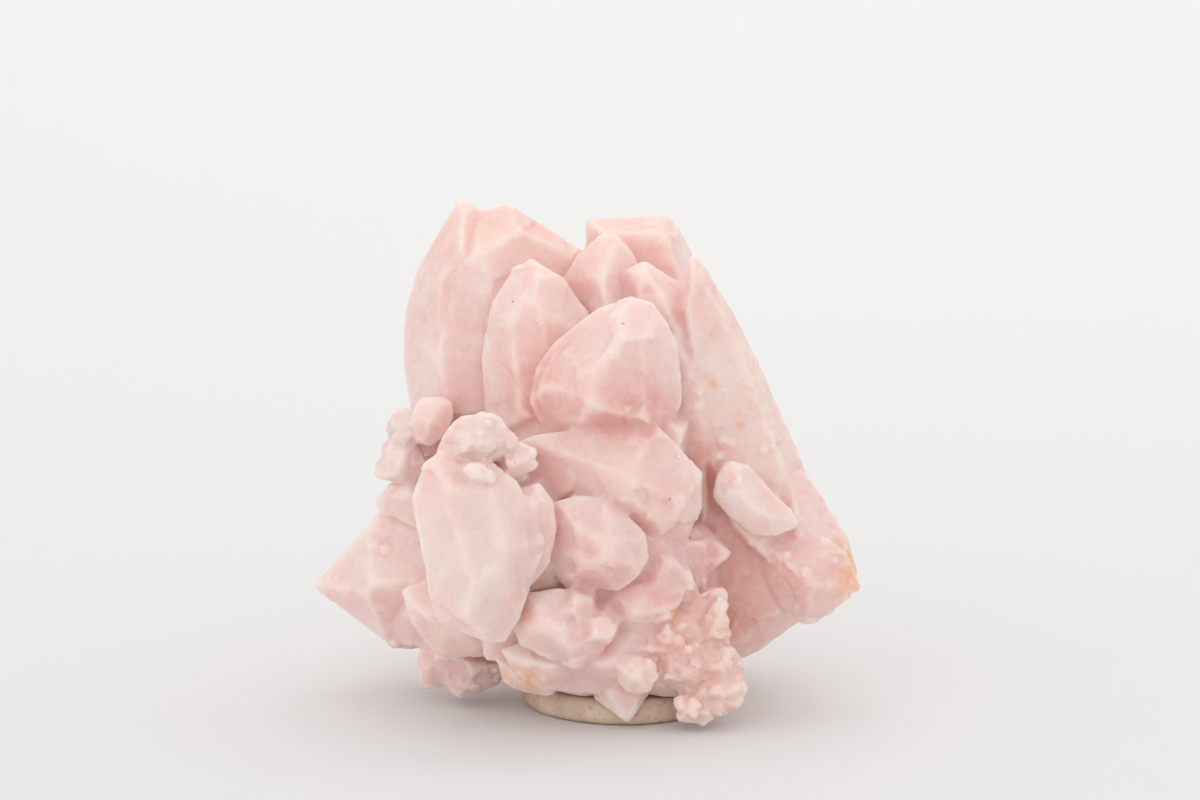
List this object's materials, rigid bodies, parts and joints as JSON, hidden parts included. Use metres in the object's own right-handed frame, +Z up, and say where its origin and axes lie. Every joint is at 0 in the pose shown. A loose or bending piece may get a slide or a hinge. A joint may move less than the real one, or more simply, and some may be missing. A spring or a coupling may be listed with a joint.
{
  "type": "rose quartz crystal cluster",
  "caption": "Cluster of milky pink quartz crystals grown together, with broad upright leaves, blunt points and small druse, standing on a pressed disc of cream putty.",
  "frame": {"origin": "centre of the putty disc's underside, on the surface that the specimen stands on", "axes": "+Z up, -Y towards the side that the picture shows, +X to the right of that side"},
  "size_m": [0.0763, 0.0581, 0.069],
  "materials": {
    "rose_quartz": "satin",
    "mounting_putty": "matte"
  },
  "bodies": {
    "root": {"crystal_cluster": "rose_quartz", "putty_disc": "mounting_putty"}
  },
  "joints": []
}
